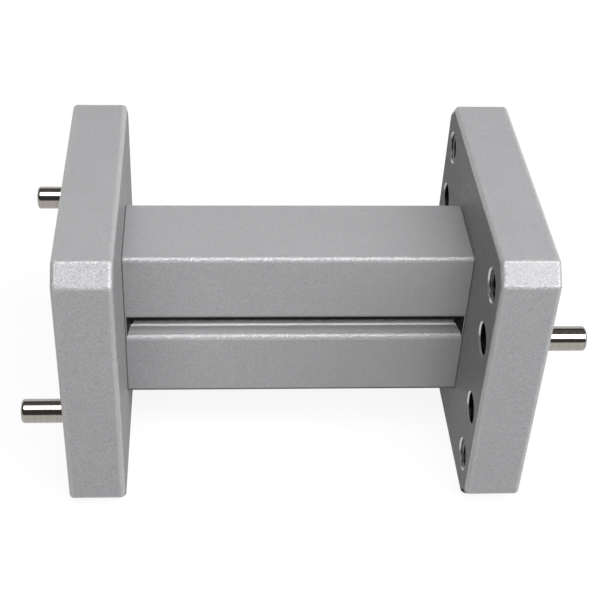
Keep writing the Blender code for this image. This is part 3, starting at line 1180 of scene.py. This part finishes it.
@dataclass
class WaveguideBody:
    """The ridged waveguide: outer skin, grooves, pocket and slots of the card, and channel.

    Attributes:
        sizes: The part's measures.
        groove_half: Half the height of the grooves.
        lip_radius: The rounding of the grooves' lips.
        foot_radius: The fillet round a groove's floor.
        groove_mouth_x: Where a groove ends in the body's face.
        groove_floor_x: Where a groove's floor would end without its fillet.
        face_end_x: Where the body's faces turn into the rounded ends beside the flanges.
        end_radius: The rounding of the visible stretch's ends, beside the flanges.
        neck_depth: How deep the fine gap beside a flange is.
        neck_x: The fine gap's two places, before and behind the flange's inner face.
        end_chamfer: The cut round the end faces.
        pocket_half: Half the height of the seal's pocket.
        pocket_gap: The gap at both ends of the seal.
        channel: Width in Y and height in Z of the channel.
        ridge: Width in Z of the ridges, and the gap in Y between them.
        channel_radius: The rounding in the channel's inner corners.
        ridge_radius: The rounding of the ridges' edges.
        slot_gap: The gap round the card in its slots.
    """

    sizes: Measures
    groove_half: float = 0.0014
    lip_radius: float = 0.0007
    foot_radius: float = 0.0002
    groove_mouth_x: float = 0.02141
    groove_floor_x: float = 0.02104
    face_end_x: float = 0.02144
    end_radius: float = 0.00018
    neck_depth: float = 0.0003
    neck_x: tuple[float, float] = (0.02164, 0.02173)
    end_chamfer: float = 0.00004
    pocket_half: float = 0.00102
    pocket_gap: float = 0.00001
    channel: tuple[float, float] = (0.0081, 0.0175)
    ridge: tuple[float, float] = (0.0044, 0.0034)
    channel_radius: float = 0.0004
    ridge_radius: float = 0.0002
    slot_gap: float = 0.0003

    def end_rail(self) -> Outline:
        """From the mating face to the start of the groove: chamfer, hidden stretch and fine gap.

        Returns:
            The rail, of points (X, height).
        """
        face, cut, deep = self.sizes.face_x, self.end_chamfer, -self.neck_depth
        first, second = self.neck_x
        corners = [(face, -cut), (face - cut, 0.0), (second, 0.0), (second, deep), (first, deep)]
        corners += [(first, 0.0), (self.face_end_x, 0.0)]
        return Outline.through(corners, [0.0] * 5 + [self.end_radius, 0.0], closed=False)

    def channel_section(self) -> Outline:
        """The channel, clockwise: a rectangle with a ridge on each wide wall.

        Returns:
            The outline in Y and Z.
        """
        wall_y, wall_z = self.channel[0] / 2, self.channel[1] / 2
        ridge_z, ridge_y = self.ridge[0] / 2, self.ridge[1] / 2
        soft, ridge = self.channel_radius, self.ridge_radius
        quarter = [(ridge_y, ridge_z, ridge), (wall_y, ridge_z, soft), (wall_y, wall_z, soft)]
        upper = quarter + [(-y, z, r) for y, z, r in reversed(quarter)]
        points = (upper + [(y, -z, r) for y, z, r in reversed(upper)])[::-1]
        return Outline.through([(y, z) for y, z, _ in points], [r for *_, r in points])

    def card_slot(self) -> np.ndarray:
        """The four corners (X, Z) of the card's slot."""
        sizes = self.sizes
        return rectangle(2 * (sizes.card_x + self.slot_gap), 2 * (sizes.card_half + self.slot_gap))

    def groove_profile(self) -> Outline:
        """A groove from its lip over its wall and fillet to its floor.

        Returns:
            The profile, of points (depth, half height).
        """
        face, floor, half = self.sizes.body_y, self.sizes.groove_floor_y, self.groove_half
        lip, foot = self.lip_radius, self.foot_radius
        corners = [(face, half + lip), (face, half), (floor, half), (floor, half - foot)]
        return Outline.through(corners, [0.0, lip, foot, 0.0], closed=False)

    def groove_reach(self, depth: np.ndarray) -> np.ndarray:
        """Half length of a groove: a slant from the floor's end to the mouth, less the fillet.

        Args:
            depth: Distances from the middle of the part along Y.

        Returns:
            The half length at each.
        """
        floor, face, radius = self.sizes.groove_floor_y, self.sizes.body_y, self.foot_radius
        share = (depth - floor) / (face - floor)
        slant = self.groove_floor_x + share * (self.groove_mouth_x - self.groove_floor_x)
        left = radius - np.clip(depth - floor, 0.0, radius)
        return slant - radius + np.sqrt(np.maximum(radius**2 - left**2, 0.0))

    def groove_painted_light(self, skin: Skin, sign: int) -> tuple[np.ndarray, np.ndarray]:
        """Adds the four walls of a groove.

        Each wall is a grid of a straight line along the groove, or up its end, over the steps of
        the profile. All four take their length and height from the same steps.

        Args:
            skin: The body's skin.
            sign: -1 for the front and 1 for the back.

        Returns:
            The loops of the groove's mouth and of its floor.
        """
        line = np.array([-1.0, 1.0])
        # Lower lip glossy; walls in the lighter groove paint, a painted light; lower fillet near-white,
        # a painted highlight.
        looks = ((Look.EDGE, Look.PAINT), (Look.GROOVE_PAINTED_LIGHT, Look.GROOVE_PAINTED_LIGHT), (Look.FOOT_PAINTED_HIGHLIGHT, Look.GROOVE_PAINTED_LIGHT))
        for stretch, painted in zip(self.groove_profile().stretches, looks):
            depth, half = stretch.points.T
            reach = self.groove_reach(depth)
            y = np.broadcast_to(sign * depth[:, None], (len(depth), 2))
            for up, look in zip((-1, 1), painted):
                height = np.broadcast_to(up * half[:, None], y.shape)
                points = np.stack([reach[:, None] * line, y, height], axis=2)
                tilt = at_x(stretch.normals * (sign, up), 0.0)
                skin.add_grid(points, np.broadcast_to(tilt[:, None], points.shape), look)
            # The groove's end walls are black: painted shade.
            for end in (-1, 1):
                x = np.broadcast_to(end * reach[:, None], y.shape)
                skin.add_grid(np.stack([x, y, half[:, None] * line], axis=2), look=Look.COMPOUND)
        mouth_y, floor_y = self.sizes.body_y, self.sizes.groove_floor_y
        reach = self.groove_reach(np.array([floor_y]))[0]
        mouth = rectangle(2 * self.groove_mouth_x, 2 * (self.groove_half + self.lip_radius))
        floor = rectangle(2 * reach, 2 * (self.groove_half - self.foot_radius))
        return at_y(mouth, sign * mouth_y), at_y(floor, sign * floor_y)

    def shell(self, skin: Skin) -> None:
        """Adds the outer skin and both grooves with the front one's pocket.

        Args:
            skin: The body's skin.
        """
        section = body_section(self.sizes)
        rail = self.end_rail()
        for stretch in rail.stretches + rail.mirrored().stretches:
            skin.sweep(section.stretches, [stretch], None if stretch.straight else Look.EDGE)
        reach = self.face_end_x
        middle = Outline.line(reach, -reach).stretches
        upper, front, lower, back = section.sides
        skin.sweep([upper, lower], middle)
        for arc in section.arcs:
            # The lower long edges take the darker paint: painted shade.
            skin.sweep([arc], middle, Look.EDGE if arc.points[0, 1] > 0.0 else Look.UNDERSIDE_PAINTED_SHADE)
        for sign, face in ((-1, front), (1, back)):
            mouth, floor = self.groove_painted_light(skin, sign)
            rim = at_y(rectangle(2 * reach, 2 * abs(face.points[0, 1])), sign * self.sizes.body_y)
            skin.add_flat([rim, mouth], (0.0, sign, 0.0))
            if sign < 0:
                self.pocket(skin, floor)
            else:
                skin.add_flat([floor], (0.0, sign, 0.0))

    def pocket(self, skin: Skin, floor: np.ndarray) -> None:
        """Adds the seal's pocket and the card's slot through the front ridge.

        Args:
            skin: The body's skin.
            floor: The loop of the groove's floor.
        """
        sizes = self.sizes
        bottom_y = sizes.groove_floor_y - sizes.seal_depth - self.slot_gap
        mouth = rectangle(2 * (sizes.seal_x + self.pocket_gap), 2 * self.pocket_half)
        rim, foot = at_y(mouth, -sizes.groove_floor_y), at_y(mouth, -bottom_y)
        # The pocket's end walls are black: painted shade.
        skin.shaft(floor, rim, other=Look.COMPOUND)
        skin.shaft(rim, foot)
        upper, lower = (at_y(self.card_slot(), y) for y in (-bottom_y, -self.ridge[1] / 2))
        skin.add_flat([foot, upper], (0.0, -1.0, 0.0))
        # The card's slot walls are darkened cut metal: painted shade.
        skin.shaft(upper, lower, Look.CUT)

    def inside(self, skin: Skin) -> None:
        """Adds the channel, its ridges with the card's slots, and the two end faces.

        Args:
            skin: The body's skin.
        """
        sizes = self.sizes
        channel = self.channel_section()
        face = sizes.face_x
        # The channel's walls and ridges are darkened cut metal: painted shade.
        for stretch in channel.stretches:
            y, z = stretch.points[0]
            if not np.allclose(np.abs(stretch.points[:, 0]), self.ridge[1] / 2):
                skin.sweep([stretch], Outline.line(face, -face).stretches, Look.CUT)
                continue
            opening = at_y(self.card_slot(), y)
            field = at_y(rectangle(2 * face, 2 * abs(z)), y)
            skin.add_flat([field, opening], (0.0, -np.sign(y), 0.0), Look.CUT)
            if y > 0:
                seat = at_y(self.card_slot(), sizes.card_y + self.slot_gap)
                skin.shaft(opening, seat, Look.CUT)
                skin.add_flat([seat], (0.0, -1.0, 0.0), Look.CUT)
        outer = body_section(sizes).loop(-self.end_chamfer)
        for end in (-1, 1):
            loops = [at_x(line, end * face) for line in (outer, channel.loop())]
            skin.add_flat(loops, (end, 0.0, 0.0), Look.MACHINED)

    def build(self) -> bpy.types.Object:
        """Builds the body.

        Returns:
            The new object.
        """
        skin = Skin(Look.PAINT)
        self.shell(skin)
        self.inside(skin)
        return skin.build("waveguide_body", self.sizes.middle_z, "grey_paint")


@dataclass
class Dowel:
    """A dowel pin with a crowned and rounded tip.

    Attributes:
        node: The CAD node that it stands for.
        sizes: The part's measures.
        crown_rise: How far the end face bulges.
        tip_radius: The rounding between the end face and the pin's side.
        tip_share: How much of that radius the rounding takes off the end face.
        root_chamfer: The cut at the hidden end.
        steps: How many facets the crown and the rounding have.
    """

    node: str
    sizes: Measures
    crown_rise: float = 0.00014
    tip_radius: float = 0.00038
    tip_share: float = 0.8
    root_chamfer: float = 0.0004
    steps: int = 8

    def rail(self) -> list[Stretch]:
        """From the tip's middle over the crown, the rounded edge and the side to the root.

        The crown is a parabola: it falls with the square of the radius, and the rounding starts
        at the crown's slope there and ends along the side.

        Returns:
            The rail's stretches, of points (X, height over the pin's side).
        """
        radius, tip = self.sizes.dowel_radius, self.sizes.dowel_tip_x
        rim = radius - self.tip_radius * self.tip_share
        slope = math.atan2(2 * self.crown_rise, rim)
        round_radius = (radius - rim) / (1.0 - math.sin(slope))
        out = np.linspace(0.0, rim, self.steps + 1)
        crown_x = tip - self.crown_rise * (out / rim) ** 2
        tilt = np.arctan(2 * self.crown_rise * out / rim**2)
        crown = Stretch(
            np.stack([crown_x, out - radius], axis=1),
            np.stack([np.cos(tilt), np.sin(tilt)], axis=1),
        )
        angle = np.linspace(slope, math.pi / 2, self.steps + 1)
        normal = np.stack([np.cos(angle), np.sin(angle)], axis=1)
        edge = Stretch(crown.points[-1] + round_radius * (normal - normal[0]), normal)
        root, cut = self.sizes.dowel_root_x, self.root_chamfer
        corners = [tuple(edge.points[-1]), (root + cut, 0.0), (root, -cut), (root, -radius)]
        rest = Outline.through(corners, [0.0] * 4, closed=False)
        return [crown, edge, *rest.stretches]

    def build(self) -> bpy.types.Object:
        """Builds the pin at the place of its CAD node.

        Returns:
            The new object.
        """
        low, high = (np.array(list(corner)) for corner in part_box(self.node))
        centre = (low + high)[1:] / 2 - (0.0, self.sizes.middle_z)
        rail = self.rail()
        if low[0] < 0.0:
            rail = [Stretch(s.points * (-1, 1), s.normals * (-1, 1)) for s in rail]
        skin = Skin(Look.STEEL)
        section = Outline.circle(tuple(centre), self.sizes.dowel_radius, inward=False)
        skin.sweep(section.stretches, rail)
        return skin.build(self.node, self.sizes.middle_z, "dowel_steel")


@dataclass
class SlotSeal:
    """The black compound in the front groove's floor, slightly hollow and uneven.

    Attributes:
        sizes: The part's measures.
        half_height: Half the height of its pocket.
        hollow: How far the middle of its face lies back.
        creep: How far the compound stands out where it creeps up its pocket's edges.
        creep_width: How broad that edge is.
        waviness: The height of its unevenness.
        waves: The sines that the unevenness is made of: radians a metre along X and along Z,
            and the phase.
        steps: How many facets its face has along X and along Z.
    """

    sizes: Measures
    half_height: float = 0.00101
    hollow: float = 0.00005
    creep: float = 0.00006
    creep_width: float = 0.00014
    waviness: float = 0.000012
    waves: tuple = ((2100.0, 0.0, 0.0), (3700.0, 4100.0, 0.0), (900.0, -2900.0, 1.0))
    steps: tuple[int, int] = (240, 32)

    def build(self) -> bpy.types.Object:
        """Builds the strip: a slab whose front is a grid over X and Z.

        The front lies back by the hollow times one minus the square of the height's share,
        and waves by three sines of X and Z that don't repeat together. Near both edges it
        stands out by the creep times the square of how far it is into the creep's width.

        Returns:
            The new object.
        """
        sizes = self.sizes
        x = np.linspace(-sizes.seal_x, sizes.seal_x, self.steps[0] + 1)[:, None]
        turn = np.linspace(-math.pi / 2, math.pi / 2, self.steps[1] + 1)
        z = self.half_height * np.sin(turn)[None]
        share = 1.0 - (z / self.half_height) ** 2
        wave = sum(np.sin(a * x + b * z + phase) for a, b, phase in self.waves) / len(self.waves)
        edge = np.clip(1.0 - (self.half_height - np.abs(z)) / self.creep_width, 0.0, 1.0)
        back = (self.hollow + self.waviness * wave) * share - self.creep * edge**2
        grid = np.stack(np.broadcast_arrays(x, back - sizes.groove_floor_y, z), axis=2)
        rear = grid.copy()
        rear[..., 1] = sizes.seal_depth - sizes.groove_floor_y
        # Black compound, lighter towards its long edges: painted light.
        skin = Skin(Look.STRIP)
        skin.add_grid(grid)
        skin.add_grid(rear)
        for row in (0, -1):
            skin.add_grid(np.stack([grid[row], rear[row]]))
            skin.add_grid(np.stack([grid[:, row], rear[:, row]]))
        return skin.build("slot_seal", sizes.middle_z, "black_seal")


@dataclass
class Card:
    """The lossy card between the ridges, with both ends tapered.

    Attributes:
        sizes: The part's measures.
        taper: The length of each tapered end.
        ridge_y: Half the gap between the ridges.
        corner_radius: The rounding of its corners.
        edge: The rounding of its rim.
    """

    sizes: Measures
    taper: float = 0.011
    ridge_y: float = 0.0017
    corner_radius: float = 0.0003
    edge: float = 0.00008

    def build(self) -> bpy.types.Object:
        """Builds the card: its outline in X and Y, swept through its thickness.

        It is built with its thickness along the first axis, and the axes are then changed round.

        Returns:
            The new object.
        """
        sizes = self.sizes
        right = [(sizes.card_x, -sizes.card_y), (sizes.card_x, -self.ridge_y)]
        right += [(sizes.card_x - self.taper, sizes.card_y)]
        corners = right + [(-x, y) for x, y in reversed(right)]
        outline = Outline.through(corners, [self.corner_radius] * len(corners))
        half, foot = sizes.card_half, -self.edge
        profile = [(half, foot), (half, 0.0), (-half, 0.0), (-half, foot)]
        rail = Outline.through(profile, [0.0, self.edge, self.edge, 0.0], closed=False)
        skin = Skin(Look.FILM)
        skin.sweep(outline.stretches, rail.stretches)
        for z in (half, -half):
            skin.add_flat([at_x(outline.loop(foot), z)], (np.sign(z), 0.0, 0.0))
        for values in (skin.points, skin.normals):
            values[:] = [np.roll(part, -1, axis=1) for part in values]
        return skin.build("attenuator_card", sizes.middle_z, "card_film")


@dataclass(frozen=True)
class Lamp:
    """A soft rectangular lamp that faces the part.

    Attributes:
        name: Its name.
        place: Its centre.
        size: Its two sides.
        power: Its power in watts.
        turn_deg: How far its long side is turned from the X axis, anticlockwise from above.
        mirrored: Whether glossy surfaces show it.
    """

    name: str
    place: tuple[float, float, float]
    size: tuple[float, float]
    power: float
    turn_deg: float = 0.0
    mirrored: bool = True

    def hang(self, target: Vector) -> None:
        """Adds the lamp, with its long side as level as the turn towards the target allows.

        Args:
            target: The point that it faces.
        """
        light = bpy.data.lights.new(self.name, "AREA")
        light.shape = "RECTANGLE"
        light.size, light.size_y = self.size
        light.energy = self.power
        lamp = bpy.data.objects.new(self.name, light)
        bpy.context.scene.collection.objects.link(lamp)
        lamp.visible_camera = False
        lamp.visible_glossy = self.mirrored
        turn = math.radians(self.turn_deg)
        back = (Vector(self.place) - target).normalized()
        upward = back.cross(Vector((math.cos(turn), math.sin(turn), 0.0))).normalized()
        axes = Matrix((upward.cross(back), upward, back)).transposed().to_4x4()
        lamp.matrix_world = Matrix.Translation(self.place) @ axes


@dataclass(frozen=True)
class ViewPoint:
    """The camera that the photograph was taken with, as its edges give it.

    Attributes:
        place: Its place.
        yaw_deg, pitch_deg, roll_deg: Turned right, tipped down and rolled.
        focal_px: The focal length in pixels of the picture.
        centre_px: Where the optical axis meets the picture.
        picture_px: The picture's side.
        sensor_mm: The sensor's side.
        clip: The nearest and the farthest distance that it sees.
    """

    place: tuple[float, float, float] = (-0.01154, -0.13102, 0.12554)
    yaw_deg: float = 3.70
    pitch_deg: float = 38.25
    roll_deg: float = 2.17
    focal_px: float = 1295.25
    centre_px: tuple[float, float] = (270.0, 280.0)
    picture_px: float = 600.0
    sensor_mm: float = 36.0
    clip: tuple[float, float] = (0.01, 20.0)

    def set_up(self) -> None:
        """Makes the scene's camera."""
        yaw, pitch, roll = map(math.radians, (self.yaw_deg, self.pitch_deg, self.roll_deg))
        level = Vector((math.cos(yaw), -math.sin(yaw), 0.0))
        away = Vector((math.sin(yaw), math.cos(yaw), 0.0))
        ahead = math.cos(pitch) * away - math.sin(pitch) * Vector((0.0, 0.0, 1.0))
        upward = level.cross(ahead)
        right = math.cos(roll) * level + math.sin(roll) * upward
        up = math.cos(roll) * upward - math.sin(roll) * level
        data = bpy.data.cameras.new("camera")
        data.sensor_width = self.sensor_mm
        data.lens = self.focal_px / self.picture_px * self.sensor_mm
        middle = (self.picture_px - 1.0) / 2
        data.shift_x = (middle - self.centre_px[0]) / self.picture_px
        data.shift_y = (self.centre_px[1] - middle) / self.picture_px
        data.clip_start, data.clip_end = self.clip
        camera = bpy.data.objects.new("camera", data)
        bpy.context.scene.collection.objects.link(camera)
        turn = Matrix((right, up, -ahead)).transposed().to_4x4()
        camera.matrix_world = Matrix.Translation(self.place) @ turn
        bpy.context.scene.camera = camera


@dataclass(frozen=True)
class Studio:
    """A white table under three soft lamps, and surroundings that metal can mirror.

    Attributes:
        lamps: The lamps.
        target: What the lamps face, near the part's middle.
        ambient: The strength of the surroundings' even light.
        mirrored: What metal sees of the surroundings, as pairs of the share of the half turn
            from the horizon in front over the zenith to the horizon behind, and a brightness.
        floor_side: The side of the floor.
    """

    lamps: tuple[Lamp, ...] = (
        Lamp("key_lamp", (0.054, -0.273, 0.643), (0.70, 0.40), 4.7, turn_deg=-33.0),
        Lamp("side_lamp", (0.50, -0.22, 0.42), (0.40, 0.40), 3.4),
        Lamp("front_lamp", (-0.09, -0.52, 0.42), (0.60, 0.30), 2.0, mirrored=False),
    )
    target: tuple[float, float, float] = (0.0, 0.0, 0.019)
    ambient: float = 0.11
    mirrored: tuple = (
        (0.0, 0.9),
        (0.03, 0.08),
        (0.5, 0.05),
        (0.55, 0.20),
        (0.71, 0.15),
        (0.74, 0.05),
        (0.80, 0.05),
        (0.83, 1.0),
    )
    floor_side: float = 4.0

    def lay_floor(self) -> None:
        """Adds the white floor."""
        corners = [(x, y, 0.0) for x, y in rectangle(self.floor_side, self.floor_side).tolist()]
        mesh = bpy.data.meshes.new("floor")
        mesh.from_pydata(corners, [], [(0, 1, 2, 3)])
        mesh.materials.append(WhiteTable("white_table").material())
        floor = bpy.data.objects.new("floor", mesh)
        bpy.context.scene.collection.objects.link(floor)

    def surround(self) -> None:
        """Makes the surroundings: white for the camera, bands for metal, and even grey light.

        A band's place is the angle round the X axis, which is the arc tangent of Z over minus Y.
        """
        world = bpy.data.worlds.new("studio")
        world.use_nodes = True
        bpy.context.scene.world = world
        board = NodeBoard(world.node_tree, "Generated")
        sides = board.add("SeparateXYZ", {"Vector": board.place}).outputs
        angle = board.math("ARCTAN2", sides["Z"], board.math("MULTIPLY", sides["Y"], -1.0))
        share = board.math("DIVIDE", angle, math.pi)
        bands = board.ramp(share, [(at, (value,) * 3) for at, value in self.mirrored])
        skies = ({"Color": WHITE, "Strength": self.ambient}, {"Color": bands}, {"Color": WHITE})
        even, metal, backdrop = (board.add("Background", sky).outputs["Background"] for sky in skies)
        rays = board.add("LightPath", {}).outputs
        lit = board.mix(rays["Is Glossy Ray"], even, metal)
        seen = board.mix(rays["Is Camera Ray"], lit, backdrop)
        board.plug(board.tree.nodes["World Output"].inputs["Surface"], seen)

    def set_up(self) -> None:
        """Sets up floor, surroundings and lamps."""
        self.lay_floor()
        self.surround()
        for lamp in self.lamps:
            lamp.hang(Vector(self.target))
        bpy.context.scene.view_settings.view_transform = "Standard"


def main() -> None:
    """Builds every piece in order, then the studio and the camera."""
    logging.basicConfig(level=logging.INFO, format="%(name)s: %(message)s")
    sizes = Measures.from_frame()
    dowels = sorted(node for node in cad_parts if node.startswith("dowel_"))
    pieces = [WaveguideBody(sizes), Flange(Side.LEFT, sizes), Flange(Side.RIGHT, sizes)]
    pieces += [Dowel(node, sizes) for node in dowels]
    pieces += [SlotSeal(sizes), Card(sizes)]
    for piece in pieces:
        piece.build()
    Studio().set_up()
    ViewPoint().set_up()


if __name__ == "__main__":
    main()
